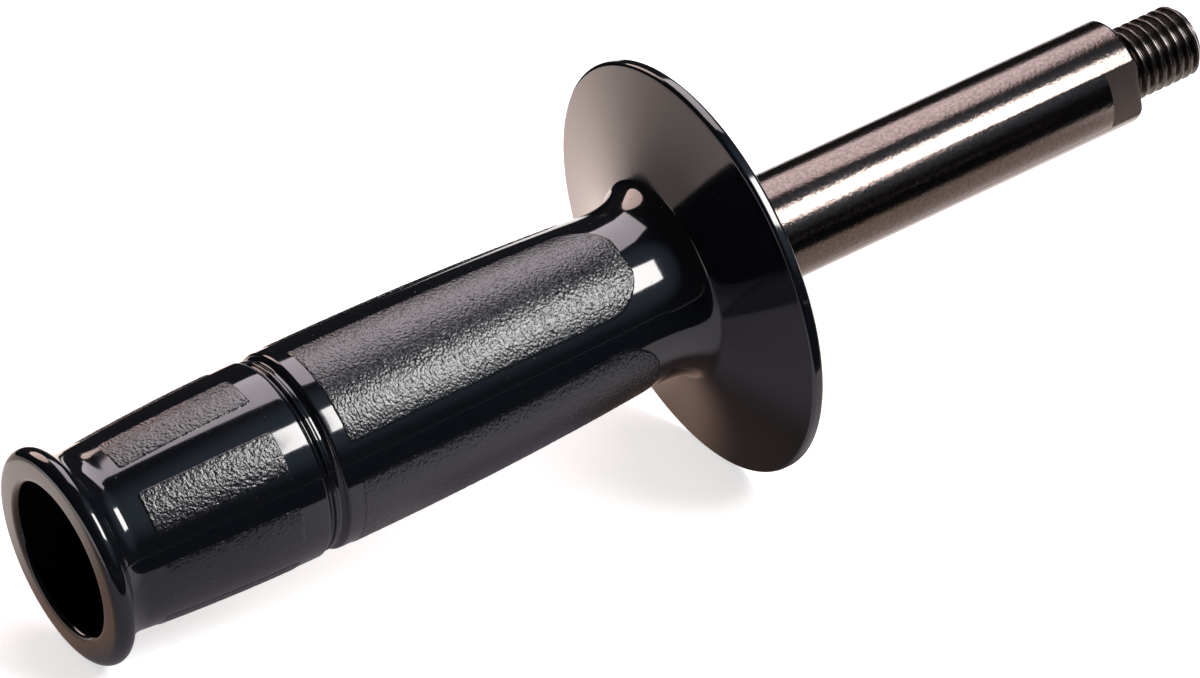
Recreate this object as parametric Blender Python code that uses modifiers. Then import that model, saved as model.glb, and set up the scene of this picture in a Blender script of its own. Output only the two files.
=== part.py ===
"""Side handle for a power tool: a hollow moulded grip with a hand guard, bolted on a steel spindle.

The handle's axis is the world X axis. The origin is the centre of the spindle's shoulder face,
which seats on the tool's boss: the threaded stud points to +X and the grip lies towards -X.
Every piece is drawn on an empty whose own Z axis is that X axis, so a turned profile is given as
radius and height, and a height of zero is the shoulder face.
"""

import math

import bmesh
import bpy
from mathutils import Matrix

MM = 0.001

# Grip moulding, along the axis from its open rim
GRIP_LENGTH = 134.0 * MM
END_SEGMENT_LENGTH = 44.6 * MM
BELLY_FROM_GROOVE = 9.2 * MM
HUB_NECK_FROM_GUARD = 16.0 * MM

# Grip moulding, radii of the smooth skin between the grained pads
RIM_RADIUS = 19.8 * MM
NECK_RADIUS = 16.95 * MM
END_SEGMENT_RADIUS = 18.6 * MM
BELLY_RADIUS = 18.75 * MM
HUB_NECK_RADIUS = 16.35 * MM

# Rim bead and mouth
BEAD_ROUND = 2.1 * MM
BEAD_FILLET = 6.0 * MM
MOUTH_RADIUS = 14.5 * MM
MOUTH_ROUND = 1.2 * MM
BORE_END_RADIUS = 13.5 * MM

# Groove between the two segments, with a thin land in it
GROOVE_LENGTH = 3.2 * MM
GROOVE_DEPTH = 1.0 * MM
LAND_HEIGHT = 0.55 * MM
LAND_WIDTH = 1.1 * MM
LAND_FROM_END_SEGMENT = 1.35 * MM
SEGMENT_EDGE_ROUND = 0.7 * MM
SEGMENT_EDGE_SWEEP = 70.0
LAND_SWEEP = 50.0

# Hand guard
GUARD_RADIUS = 40.0 * MM
GUARD_THICKNESS = 2.2 * MM
GUARD_DOME = 3.2 * MM
HUB_FILLET = 6.0 * MM
HUB_BOSS_RADIUS = 15.0 * MM
HUB_BOSS_FILLET = 3.0 * MM

# Grained pads that stand proud of the skin
PAD_HEIGHT = 0.25 * MM
PAD_ROOT = 1.2 * MM
MAIN_PAD_COUNT = 4
MAIN_PAD_FROM_GROOVE = 3.0 * MM
MAIN_PAD_FROM_HUB_NECK = 2.8 * MM
MAIN_PAD_WIDTH = 22.2 * MM
MAIN_PAD_END_WIDTH = 17.8 * MM
MAIN_PAD_ROUND = 1.4 * MM
MAIN_PAD_END_ROUND = 7.6 * MM
END_PAD_COUNT = 8
END_PAD_FROM_NECK = 3.7 * MM
END_PAD_FROM_GROOVE = 5.4 * MM
END_PAD_WIDTH = 8.5 * MM
END_PAD_ROUND = 1.2 * MM

# Inside of the grip
WEB_THICKNESS = 8.0 * MM
SOCKET_DEPTH = 34.0 * MM
SOCKET_CHAMFER = 0.8 * MM
SEAT_GAP = 0.3 * MM

# Steel spindle
ROD_RADIUS = 10.25 * MM
ROD_EXPOSED = 93.5 * MM
ROD_CHAMFER = 1.0 * MM
WRENCH_SIZE = 17.0 * MM
WRENCH_FLAT_LENGTH = 7.2 * MM
WRENCH_TURN = 13.5

# Stud at the tool end, left plain at the crest of its M14 thread
STUD_RADIUS = 7.0 * MM
STUD_LENGTH = 16.2 * MM
STUD_CHAMFER = 1.2 * MM

# Tail that bolts the grip on, M12 with two key flats
TAIL_RADIUS = 6.0 * MM
TAIL_BEYOND_NUT = 3.0 * MM
TAIL_CHAMFER = 1.0 * MM
KEY_SIZE = 10.0 * MM

# Tail fasteners
WASHER_RADIUS = 12.0 * MM
WASHER_THICKNESS = 2.5 * MM
LOCK_WASHER_RADIUS = 9.8 * MM
LOCK_WASHER_THICKNESS = 2.4 * MM
LOCK_WASHER_SPLIT = 1.6 * MM
LOCK_WASHER_SLANT = 20.0
NUT_SIZE = 18.0 * MM
NUT_THICKNESS = 10.0 * MM
NUT_CORNER_SLOPE = 30.0

# Smoothness
GRIP_STEPS = 56
STEEL_STEPS = 48
SKIN_STEPS = 8
ARC_STEPS = 5
EDGE_STEPS = 3
MERGE = 0.00001
SHARP_ANGLE = 30.0

# Places that follow from the sizes above
GUARD_BACK = -ROD_EXPOSED
RIM_FACE = GUARD_BACK - GRIP_LENGTH
SEGMENT_END = RIM_FACE + END_SEGMENT_LENGTH
MAIN_START = SEGMENT_END + GROOVE_LENGTH
BELLY = MAIN_START + BELLY_FROM_GROOVE
HUB_NECK = GUARD_BACK - HUB_NECK_FROM_GUARD
BEAD_CENTRE_RADIUS = RIM_RADIUS - BEAD_ROUND
BEAD_FILLET_RADIUS = NECK_RADIUS + BEAD_FILLET
BEAD_RISE = BEAD_FILLET_RADIUS - BEAD_CENTRE_RADIUS
BEAD_REACH = math.sqrt((BEAD_FILLET + BEAD_ROUND) ** 2 - BEAD_RISE**2)
BEAD_HEIGHT = RIM_FACE + BEAD_ROUND
NECK = BEAD_HEIGHT + BEAD_REACH
MAIN_PAD_FOOT = MAIN_START + MAIN_PAD_FROM_GROOVE
MAIN_PAD_TOP = HUB_NECK - MAIN_PAD_FROM_HUB_NECK
END_PAD_FOOT = NECK + END_PAD_FROM_NECK
END_PAD_TOP = SEGMENT_END - END_PAD_FROM_GROOVE
SOCKET_RADIUS = ROD_RADIUS + SEAT_GAP
SOCKET_FLOOR = GUARD_BACK - SOCKET_DEPTH
WEB_FACE = SOCKET_FLOOR - WEB_THICKNESS
TAIL_SHOULDER = SOCKET_FLOOR + SEAT_GAP
TAIL_HOLE_RADIUS = TAIL_RADIUS + SEAT_GAP
WASHER_TOP = WEB_FACE - SEAT_GAP
WASHER_FACE = WASHER_TOP - WASHER_THICKNESS
LOCK_WASHER_TOP = WASHER_FACE - SEAT_GAP
LOCK_WASHER_FACE = LOCK_WASHER_TOP - LOCK_WASHER_THICKNESS
NUT_TOP = LOCK_WASHER_FACE - SEAT_GAP
NUT_FACE = NUT_TOP - NUT_THICKNESS
TAIL_END = NUT_FACE - TAIL_BEYOND_NUT


def clear_scene():
    """Removes every object that the scene holds."""
    for item in list(bpy.data.objects):
        bpy.data.objects.remove(item)


def new_collection(name):
    """A collection linked to the scene."""
    group = bpy.data.collections.new(name)
    bpy.context.scene.collection.children.link(group)
    return group


def plain_material(name, colour, roughness, metallic=0.0):
    """A Principled material."""
    material = bpy.data.materials.new(name)
    material.use_nodes = True
    shader = material.node_tree.nodes["Principled BSDF"]
    shader.inputs["Base Color"].default_value = (*colour, 1.0)
    shader.inputs["Roughness"].default_value = roughness
    shader.inputs["Metallic"].default_value = metallic
    material.diffuse_color = (*colour, 1.0)
    return material


def place(item, group, axis, material=None):
    """Links an object to a collection and hangs it on the axis empty."""
    group.objects.link(item)
    item.parent = axis
    if material:
        item.data.materials.append(material)
    return item


def place_cutter(item, cutters, axis):
    """Places an object that only shapes another: it isn't rendered, and shows as a wire."""
    item.hide_render = True
    item.display_type = "WIRE"
    return place(item, cutters, axis)


def mesh_object(name, bm):
    """An object with the mesh that was built in bm, its faces pointing out and shaded smooth."""
    mesh = bpy.data.meshes.new(name)
    bmesh.ops.recalc_face_normals(bm, faces=bm.faces)
    bm.to_mesh(mesh)
    bm.free()
    mesh.shade_smooth()
    mesh.set_sharp_from_angle(angle=math.radians(SHARP_ANGLE))
    return bpy.data.objects.new(name, mesh)


def combine(item, other, operation):
    """Cuts, joins or intersects an object with another."""
    modifier = item.modifiers.new(f"{operation.lower()} {other.name}", "BOOLEAN")
    modifier.operation = operation
    modifier.solver = "EXACT"
    modifier.object = other
    return item


def arc(radius, height, size, start, end, steps=ARC_STEPS):
    """Points of an arc about (radius, height), between two angles in degrees. Zero points outwards."""
    points = []
    for step in range(steps + 1):
        angle = math.radians(start + (end - start) * step / steps)
        points.append((radius + size * math.cos(angle), height + size * math.sin(angle)))
    return points


def turned(name, profile, steps):
    """A turned solid. Its closed profile runs down the outer side, as (radius, height) points.

    A stretch that lies on the axis itself is left out, because turning it makes no surface.
    """
    mesh = bpy.data.meshes.new(name)
    corners = [(radius, 0.0, height) for radius, height in profile]
    edges = [(index - 1, index) for index in range(len(corners))
             if corners[index - 1][0] > MERGE or corners[index][0] > MERGE]
    edges = [(first % len(corners), second) for first, second in edges]
    mesh.from_pydata(corners, edges, [])
    item = bpy.data.objects.new(name, mesh)
    screw = item.modifiers.new("turn", "SCREW")
    screw.axis = "Z"
    screw.steps = steps
    screw.render_steps = steps
    screw.use_merge_vertices = True
    screw.merge_threshold = MERGE
    return item


def block(name, size, centre, turn=0.0):
    """A plain block turned about the axis, used to cut flats and slots."""
    bm = bmesh.new()
    bmesh.ops.create_cube(bm, size=1.0)
    bmesh.ops.scale(bm, vec=size, verts=bm.verts)
    bmesh.ops.translate(bm, vec=centre, verts=bm.verts)
    bmesh.ops.rotate(bm, matrix=Matrix.Rotation(math.radians(turn), 3, "Z"), verts=bm.verts)
    return mesh_object(name, bm)


def plate(name, outline, thickness):
    """A flat outline in the local XY plane, made thick about that plane, as an open bmesh."""
    curve = bpy.data.curves.new(name, "CURVE")
    curve.dimensions = "2D"
    curve.fill_mode = "BOTH"
    curve.extrude = thickness / 2
    spline = curve.splines.new("POLY")
    spline.points.add(len(outline) - 1)
    for point, (across, along) in zip(spline.points, outline):
        point.co = (across, along, 0.0, 1.0)
    spline.use_cyclic_u = True
    flat = bpy.data.objects.new(name, curve)
    bpy.context.scene.collection.objects.link(flat)
    bpy.context.view_layer.update()
    view = bpy.context.evaluated_depsgraph_get()
    mesh = bpy.data.meshes.new_from_object(flat.evaluated_get(view))
    bpy.data.objects.remove(flat)
    bm = bmesh.new()
    bm.from_mesh(mesh)
    bpy.data.meshes.remove(mesh)
    bmesh.ops.remove_doubles(bm, verts=bm.verts, dist=MERGE)
    return bm


def main_skin(height):
    """Radius of the main segment's smooth skin: a long barrel arc that thins to the hub neck."""
    share = (height - BELLY) / (HUB_NECK - BELLY)
    return BELLY_RADIUS - (BELLY_RADIUS - HUB_NECK_RADIUS) * share**2


def end_skin(height):
    """Radius of the end segment's smooth skin, which thins to the neck behind the rim bead."""
    share = (SEGMENT_END - height) / (SEGMENT_END - NECK)
    return END_SEGMENT_RADIUS - (END_SEGMENT_RADIUS - NECK_RADIUS) * share**2


def skin_points(skin, top, bottom, steps=SKIN_STEPS, proud=0.0):
    """Points down a skin from one height to another, offset outwards."""
    heights = [top + (bottom - top) * step / steps for step in range(steps + 1)]
    return [(skin(height) + proud, height) for height in heights]


def guard_front(radius):
    """Height of the guard's domed front face at a radius."""
    edge = GUARD_BACK - GUARD_THICKNESS
    return edge - GUARD_DOME * (1.0 - (radius / GUARD_RADIUS) ** 2)


def guard_face(start, end, offset):
    """Points across a face of the guard that follows its dome."""
    radii = [start + (end - start) * step / ARC_STEPS for step in range(ARC_STEPS + 1)]
    return [(radius, guard_front(radius) + offset) for radius in radii]


def guard_points():
    """The guard's rounded edge and domed front, then the fillet down to the hub neck."""
    half = GUARD_THICKNESS / 2
    rim = GUARD_RADIUS - half
    fillet_centre = HUB_NECK_RADIUS + HUB_FILLET
    points = arc(rim, GUARD_BACK - half, half, 90, -90)
    points += guard_face(rim, fillet_centre, 0.0)[1:]
    points += arc(fillet_centre, guard_front(fillet_centre) - HUB_FILLET, HUB_FILLET, 90, 180)[1:]
    return points


def groove_points():
    """The groove between the segments: rounded edges, and two valleys with a land between them."""
    main_edge = main_skin(MAIN_START) - SEGMENT_EDGE_ROUND
    end_edge = END_SEGMENT_RADIUS - SEGMENT_EDGE_ROUND
    floor = END_SEGMENT_RADIUS - GROOVE_DEPTH
    half_land = LAND_WIDTH / 2
    land = floor + LAND_HEIGHT - half_land
    middle = SEGMENT_END + LAND_FROM_END_SEGMENT
    points = arc(main_edge, MAIN_START + SEGMENT_EDGE_ROUND, SEGMENT_EDGE_ROUND,
                 0, -SEGMENT_EDGE_SWEEP, EDGE_STEPS)
    points.append((floor, (middle + half_land + MAIN_START) / 2))
    points += arc(land, middle, half_land, LAND_SWEEP, -LAND_SWEEP, EDGE_STEPS)
    points.append((floor, (middle - half_land + SEGMENT_END) / 2))
    points += arc(end_edge, SEGMENT_END - SEGMENT_EDGE_ROUND, SEGMENT_EDGE_ROUND,
                  SEGMENT_EDGE_SWEEP, 0, EDGE_STEPS)
    return points


def bead_points():
    """The fillet behind the rim bead, the bead, its flat face and the rounded mouth."""
    meet = math.degrees(math.atan2(BEAD_REACH, BEAD_RISE))
    mouth = MOUTH_RADIUS + MOUTH_ROUND
    points = arc(BEAD_FILLET_RADIUS, NECK, BEAD_FILLET, 180, 180 + meet)[:-1]
    points += arc(BEAD_CENTRE_RADIUS, BEAD_HEIGHT, BEAD_ROUND, meet, -90)
    points += arc(mouth, RIM_FACE + MOUTH_ROUND, MOUTH_ROUND, -90, -180, EDGE_STEPS)
    return points


def inner_points():
    """The open bore, the web that closes it, the socket for the rod and the back of the guard."""
    points = [(BORE_END_RADIUS, WEB_FACE), (0.0, WEB_FACE), (0.0, SOCKET_FLOOR), (SOCKET_RADIUS, SOCKET_FLOOR)]
    points += [(SOCKET_RADIUS, GUARD_BACK - SOCKET_CHAMFER), (SOCKET_RADIUS + SOCKET_CHAMFER, GUARD_BACK)]
    points.append((HUB_BOSS_RADIUS, GUARD_BACK))
    points += guard_face(HUB_BOSS_RADIUS + HUB_BOSS_FILLET, GUARD_RADIUS - GUARD_THICKNESS, GUARD_THICKNESS)
    return points


def grip_profile():
    """The whole section of the grip moulding, down its outside and back up its inside."""
    return (guard_points()
            + skin_points(main_skin, HUB_NECK, MAIN_START + 2 * SEGMENT_EDGE_ROUND)
            + groove_points()
            + skin_points(end_skin, SEGMENT_END - 2 * SEGMENT_EDGE_ROUND, NECK)[:-1]
            + bead_points()
            + inner_points())


def pad_outline(foot, top, foot_width, top_width, foot_round, top_round):
    """A tapering pad's outline as (across, along) points, with its corners rounded."""
    right = arc(foot_width / 2 - foot_round, foot + foot_round, foot_round, -90, 0, EDGE_STEPS)
    right += arc(top_width / 2 - top_round, top - top_round, top_round, 0, 90)
    left = [(-across, along) for across, along in reversed(right)]
    return right + left


def pad_blocks(name, count, outline):
    """Blocks round the axis, each with a pad's outline, which trim a skin ring to its pads."""
    outer = RIM_RADIUS + BEAD_FILLET
    inner = HUB_NECK_RADIUS - 2 * PAD_ROOT
    blocks = bmesh.new()
    for index in range(count):
        piece = plate(name, outline, outer - inner)
        stand = Matrix.Rotation(math.radians(90), 4, "X")
        out = Matrix.Translation((0.0, -(outer + inner) / 2, 0.0))
        turn = Matrix.Rotation(2 * math.pi * (index + 0.5) / count, 4, "Z")
        bmesh.ops.transform(piece, matrix=turn @ out @ stand, verts=piece.verts)
        mesh = bpy.data.meshes.new(name)
        piece.to_mesh(mesh)
        piece.free()
        blocks.from_mesh(mesh)
        bpy.data.meshes.remove(mesh)
    return mesh_object(name, blocks)


def add_pads(grip, cutters, axis, name, skin, foot, top, count, outline):
    """Joins a ring of grained pads to the grip: a proud copy of its skin, trimmed to the pads."""
    outer = skin_points(skin, top + PAD_ROOT, foot - PAD_ROOT, proud=PAD_HEIGHT)
    inner = skin_points(skin, foot - PAD_ROOT, top + PAD_ROOT, steps=1, proud=-PAD_ROOT)
    ring = place_cutter(turned(name, outer + inner, GRIP_STEPS), cutters, axis)
    blocks = place_cutter(pad_blocks(f"{name}_outline", count, outline), cutters, axis)
    combine(ring, blocks, "INTERSECT")
    combine(grip, ring, "UNION")


def keyed_bar(name, radius, across, low, high):
    """A round bar with two flats, from one height to another."""
    tip = math.degrees(math.asin(across / 2 / radius))
    outline = arc(0.0, 0.0, radius, -tip, tip, SKIN_STEPS)
    outline += arc(0.0, 0.0, radius, 180 - tip, 180 + tip, SKIN_STEPS)
    bar = plate(name, outline, high - low)
    bmesh.ops.translate(bar, verts=bar.verts, vec=(0.0, 0.0, (high + low) / 2))
    return mesh_object(name, bar)


def make_grip(parts, cutters, axis):
    """The hollow moulding: turned body and guard, grained pads and the keyed hole in its web."""
    grip = turned("grip_moulding", grip_profile(), GRIP_STEPS)
    place(grip, parts, axis, plain_material("black plastic", (0.012, 0.013, 0.016), 0.25))
    main_outline = pad_outline(MAIN_PAD_FOOT, MAIN_PAD_TOP, MAIN_PAD_WIDTH, MAIN_PAD_END_WIDTH,
                               MAIN_PAD_ROUND, MAIN_PAD_END_ROUND)
    add_pads(grip, cutters, axis, "main_pads", main_skin, MAIN_PAD_FOOT, MAIN_PAD_TOP,
             MAIN_PAD_COUNT, main_outline)
    end_outline = pad_outline(END_PAD_FOOT, END_PAD_TOP, END_PAD_WIDTH, END_PAD_WIDTH,
                              END_PAD_ROUND, END_PAD_ROUND)
    add_pads(grip, cutters, axis, "end_pads", end_skin, END_PAD_FOOT, END_PAD_TOP,
             END_PAD_COUNT, end_outline)
    hole = keyed_bar("tail_hole", TAIL_HOLE_RADIUS, KEY_SIZE + 2 * SEAT_GAP,
                     WEB_FACE - SEAT_GAP, SOCKET_FLOOR + SEAT_GAP)
    combine(grip, place_cutter(hole, cutters, axis), "DIFFERENCE")
    return grip


def spindle_profile():
    """The stud with its chamfered end, the rod and the tail, as one turned bar."""
    return [
        (0.0, STUD_LENGTH),
        (STUD_RADIUS - STUD_CHAMFER, STUD_LENGTH),
        (STUD_RADIUS, STUD_LENGTH - STUD_CHAMFER),
        (STUD_RADIUS, 0.0),
        (ROD_RADIUS - ROD_CHAMFER, 0.0),
        (ROD_RADIUS, -ROD_CHAMFER),
        (ROD_RADIUS, TAIL_SHOULDER + ROD_CHAMFER),
        (ROD_RADIUS - ROD_CHAMFER, TAIL_SHOULDER),
        (TAIL_RADIUS, TAIL_SHOULDER),
        (TAIL_RADIUS, TAIL_END + TAIL_CHAMFER),
        (TAIL_RADIUS - TAIL_CHAMFER, TAIL_END),
        (0.0, TAIL_END),
    ]


def cut_flats(spindle, cutters, axis, name, across, radius, low, high, turn=0.0):
    """Cuts a pair of flats, one each side of the axis."""
    for side in (1, -1):
        cutter = block(f"{name}_{'near' if side > 0 else 'far'}", (3 * radius, radius, high - low),
                       (0.0, -side * (across + radius) / 2, (high + low) / 2), turn)
        combine(spindle, place_cutter(cutter, cutters, axis), "DIFFERENCE")


def make_spindle(parts, cutters, axis):
    """The steel spindle: rod, wrench flats, threaded stud and keyed tail, turned from one bar."""
    spindle = turned("spindle", spindle_profile(), STEEL_STEPS)
    place(spindle, parts, axis, plain_material("plated steel", (0.55, 0.52, 0.50), 0.28, 1.0))
    cut_flats(spindle, cutters, axis, "wrench_flat", WRENCH_SIZE, ROD_RADIUS,
              -WRENCH_FLAT_LENGTH, WRENCH_FLAT_LENGTH, WRENCH_TURN)
    cut_flats(spindle, cutters, axis, "key_flat", KEY_SIZE, TAIL_RADIUS,
              WASHER_FACE, TAIL_SHOULDER)
    return spindle


def ring_profile(inner, outer, face, top, chamfer):
    """The section of a flat ring with its outer edges chamfered."""
    return [
        (outer - chamfer, top),
        (outer, top - chamfer),
        (outer, face + chamfer),
        (outer - chamfer, face),
        (inner, face),
        (inner, top),
    ]


def make_washers(parts, cutters, axis):
    """The flat washer on the web, and the split lock washer under the nut."""
    steel = plain_material("zinc plated steel", (0.60, 0.60, 0.58), 0.35, 1.0)
    washer = turned("tail_washer", ring_profile(TAIL_HOLE_RADIUS, WASHER_RADIUS, WASHER_FACE, WASHER_TOP,
                                                WASHER_THICKNESS / 8), STEEL_STEPS)
    place(washer, parts, axis, steel)
    lock = turned("lock_washer", ring_profile(TAIL_HOLE_RADIUS, LOCK_WASHER_RADIUS, LOCK_WASHER_FACE,
                                              LOCK_WASHER_TOP, LOCK_WASHER_THICKNESS / 8), STEEL_STEPS)
    place(lock, parts, axis, steel)
    slot = block("lock_washer_split", (LOCK_WASHER_SPLIT, LOCK_WASHER_RADIUS, 3 * LOCK_WASHER_THICKNESS),
                 (0.0, 0.0, 0.0))
    slot.location = (0.0, (LOCK_WASHER_RADIUS + TAIL_HOLE_RADIUS) / 2, (LOCK_WASHER_TOP + LOCK_WASHER_FACE) / 2)
    slot.rotation_euler = (0.0, math.radians(LOCK_WASHER_SLANT), 0.0)
    combine(lock, place_cutter(slot, cutters, axis), "DIFFERENCE")
    return washer, lock


def make_nut(parts, cutters, axis):
    """The hexagon nut on the tail: a six-sided bar trimmed by a turned blank with chamfered ends."""
    corner = NUT_SIZE / math.sqrt(3)
    bm = bmesh.new()
    bmesh.ops.create_cone(bm, cap_ends=True, segments=6, radius1=corner, radius2=corner, depth=2 * NUT_THICKNESS,
                          matrix=Matrix.Translation((0.0, 0.0, (NUT_TOP + NUT_FACE) / 2)))
    nut = mesh_object("tail_nut", bm)
    place(nut, parts, axis, plain_material("nut steel", (0.58, 0.58, 0.56), 0.35, 1.0))
    crown = 0.95 * NUT_SIZE / 2
    over = 1.1 * corner
    slope = (over - crown) * math.tan(math.radians(NUT_CORNER_SLOPE))
    blank = turned("nut_blank", [
        (crown, NUT_TOP),
        (over, NUT_TOP - slope),
        (over, NUT_FACE + slope),
        (crown, NUT_FACE),
        (TAIL_HOLE_RADIUS, NUT_FACE),
        (TAIL_HOLE_RADIUS, NUT_TOP),
    ], STEEL_STEPS)
    combine(nut, place_cutter(blank, cutters, axis), "INTERSECT")
    return nut


def main():
    clear_scene()
    parts = new_collection("power tool side handle")
    cutters = new_collection("cutters")
    axis = bpy.data.objects.new("spindle_axis", None)
    axis.rotation_euler = (0.0, math.radians(90), 0.0)
    parts.objects.link(axis)
    make_grip(parts, cutters, axis)
    make_spindle(parts, cutters, axis)
    make_washers(parts, cutters, axis)
    make_nut(parts, cutters, axis)


main()
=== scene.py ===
# %% [markdown]
# # A side handle for a power tool
# The handle is a hollow black moulding with a hand guard, bolted on a steel spindle whose stud
# screws into the tool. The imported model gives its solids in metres, with the handle's axis on
# world X and the spindle's shoulder at the origin. This lesson dresses those solids: it turns
# smoother versions of the moulding and the spindle, lays grained pads on the grip, rolls the
# threads, and gives every surface a finish.

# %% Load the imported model
import math

import bmesh
import bpy
import numpy as np
from mathutils import Euler, Matrix, Vector


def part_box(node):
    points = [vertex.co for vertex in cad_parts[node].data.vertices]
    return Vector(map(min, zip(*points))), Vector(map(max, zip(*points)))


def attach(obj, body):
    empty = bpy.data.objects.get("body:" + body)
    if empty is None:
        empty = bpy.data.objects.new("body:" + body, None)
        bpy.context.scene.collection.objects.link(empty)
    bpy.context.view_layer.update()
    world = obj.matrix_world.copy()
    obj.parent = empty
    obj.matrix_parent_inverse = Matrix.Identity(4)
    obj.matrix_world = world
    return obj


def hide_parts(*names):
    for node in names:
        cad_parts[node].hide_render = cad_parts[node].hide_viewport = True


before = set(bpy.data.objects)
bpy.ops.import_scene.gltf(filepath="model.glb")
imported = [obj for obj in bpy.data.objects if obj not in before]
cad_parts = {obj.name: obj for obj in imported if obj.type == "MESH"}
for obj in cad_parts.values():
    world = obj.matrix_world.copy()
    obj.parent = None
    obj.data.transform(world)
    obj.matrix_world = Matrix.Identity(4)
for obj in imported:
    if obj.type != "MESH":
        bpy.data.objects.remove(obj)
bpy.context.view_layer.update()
MM = 0.001
for node in sorted(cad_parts):
    low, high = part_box(node)
    wide = (high.z - low.z) / MM
    print(f"{node}: x {low.x / MM:.1f} to {high.x / MM:.1f} mm, {wide:.1f} mm across")

# %% [markdown]
# ## Where things are
# A turned piece is described by points along its section, each an x along the axis and a
# radius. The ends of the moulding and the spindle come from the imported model, so the rest can
# be measured from them, as it would be on the real part.

# %% Places along the axis
END_SEGMENT_LENGTH = 44.6 * MM
GROOVE_LENGTH = 3.2 * MM
BELLY_FROM_GROOVE = 9.2 * MM
HUB_NECK_FROM_GUARD = 16.0 * MM
NECK_FROM_RIM = 8.27 * MM
SOCKET_DEPTH = 34.0 * MM
WEB_THICKNESS = 8.0 * MM

RIM_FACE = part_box("grip_moulding")[0].x
GUARD_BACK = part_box("grip_moulding")[1].x
SEGMENT_END = RIM_FACE + END_SEGMENT_LENGTH
MAIN_START = SEGMENT_END + GROOVE_LENGTH
BELLY = MAIN_START + BELLY_FROM_GROOVE
HUB_NECK = GUARD_BACK - HUB_NECK_FROM_GUARD
NECK = RIM_FACE + NECK_FROM_RIM
SOCKET_FLOOR = GUARD_BACK - SOCKET_DEPTH
WEB_FACE = SOCKET_FLOOR - WEB_THICKNESS
STUD_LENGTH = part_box("spindle")[1].x
TAIL_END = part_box("spindle")[0].x

NECK_RADIUS = 16.95 * MM
END_SEGMENT_RADIUS = 18.6 * MM
BELLY_RADIUS = 18.75 * MM
HUB_NECK_RADIUS = 16.35 * MM
GUARD_RADIUS = 40.0 * MM
GUARD_THICKNESS = 2.2 * MM
ROD_RADIUS = 10.25 * MM
print(f"grip {(GUARD_BACK - RIM_FACE) / MM:.1f} mm long, stud {STUD_LENGTH / MM:.1f} mm")

# %% [markdown]
# ## Node expressions
# Both geometry nodes and shader nodes do arithmetic with Math nodes, which are slow to read
# when each one is wired by hand. A small class wraps a socket so that ordinary Python
# arithmetic builds those nodes, and one method makes every other kind of node.

# %% Wires and graphs
def operator(operation, reflected=False):
    """What one of Python's operators does to a wire: it adds a Math node."""
    def method(wire, other):
        values = (other, wire) if reflected else (wire, other)
        return wire.graph.math(operation, *values)

    return method


class Wire:
    """An output socket. Arithmetic on it adds Math nodes to its graph."""

    __add__ = __radd__ = operator("ADD")
    __mul__ = __rmul__ = operator("MULTIPLY")
    __sub__, __rsub__ = operator("SUBTRACT"), operator("SUBTRACT", reflected=True)
    __truediv__, __rtruediv__ = operator("DIVIDE"), operator("DIVIDE", reflected=True)

    def __init__(self, graph, socket):
        self.graph = graph
        self.socket = socket

    def out(self, name):
        """Another output of the same node."""
        return Wire(self.graph, self.socket.node.outputs[name])

    def to(self, node, name):
        """Feeds one of a node's inputs."""
        self.graph.tree.links.new(self.socket, node.inputs[name])

    def step(self, low, high, first=0.0, last=1.0):
        """A value eased from first to last as this one goes from low to high."""
        return self.graph.add("ShaderNodeMapRange", {"interpolation_type": "SMOOTHSTEP"},
                              {"Value": self, "From Min": low, "From Max": high,
                               "To Min": first, "To Max": last})


class Graph:
    """A node tree that is written as expressions."""

    def __init__(self, tree):
        self.tree = tree

    def add(self, kind, settings=None, inputs=None, output=0):
        """Makes a node: its settings first, then the values or wires of its sockets."""
        node = self.tree.nodes.new(kind)
        for name, value in (settings or {}).items():
            setattr(node, name, value)
        for name, value in (inputs or {}).items():
            if isinstance(value, Wire):
                value.to(node, name)
            else:
                node.inputs[name].default_value = value
        return Wire(self, node.outputs[output])

    def math(self, operation, *values):
        """A Math node on wires or numbers."""
        return self.add("ShaderNodeMath", {"operation": operation}, dict(enumerate(values)))


print("Wire and Graph are ready")

# %% [markdown]
# ## Turned pieces
# A lathe makes most of this part, and so does the code: a section of (x, radius) points is
# copied round the axis as rings, and neighbouring rings are joined by faces. The rings are
# made directly, and not with a Screw modifier, because then their angles may be uneven. The
# moulding uses that to put fine rings where its two mould halves meet.

# %% Sections and rings
ON_AXIS = 1e-7
SIDE_SHARE = 2.1  # over 2, so that the roundings at the two ends of a side never meet


def arc(x, radius, size, start, end, steps):
    """Points of an arc about (x, radius). Angle 0 points outwards and 90 points to +X."""
    angles = np.radians(np.linspace(start, end, steps + 1))
    return [(x + size * math.sin(angle), radius + size * math.cos(angle)) for angle in angles]


def eased(start, start_slope, end, end_slope, steps):
    """Points of a smooth curve between two (x, radius) points with given slopes."""
    span = end[0] - start[0]
    points = []
    for share in np.linspace(0.0, 1.0, steps + 1):
        rise = (start[1] * (2 * share**3 - 3 * share**2 + 1)
                + start_slope * span * (share**3 - 2 * share**2 + share)
                + end[1] * (3 * share**2 - 2 * share**3)
                + end_slope * span * (share**3 - share**2))
        points.append((start[0] + span * share, rise))
    return points


def rounded(points, size, steps=4):
    """The same section with each inner corner cut back by size and rounded."""
    result = [points[0]]
    for before, corner, after in zip(points, points[1:], points[2:]):
        here = Vector(corner)
        back = Vector(before) - here
        on = Vector(after) - here
        reach = min(size, back.length / SIDE_SHARE, on.length / SIDE_SHARE)
        first = here + back.normalized() * reach
        last = here + on.normalized() * reach
        for share in np.linspace(0.0, 1.0, steps + 1):
            near = first.lerp(here, share)
            far = here.lerp(last, share)
            result.append(tuple(near.lerp(far, share)))
    result.append(points[-1])
    return result


def link(item):
    """Puts an object in the scene."""
    bpy.context.scene.collection.objects.link(item)
    return item


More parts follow.
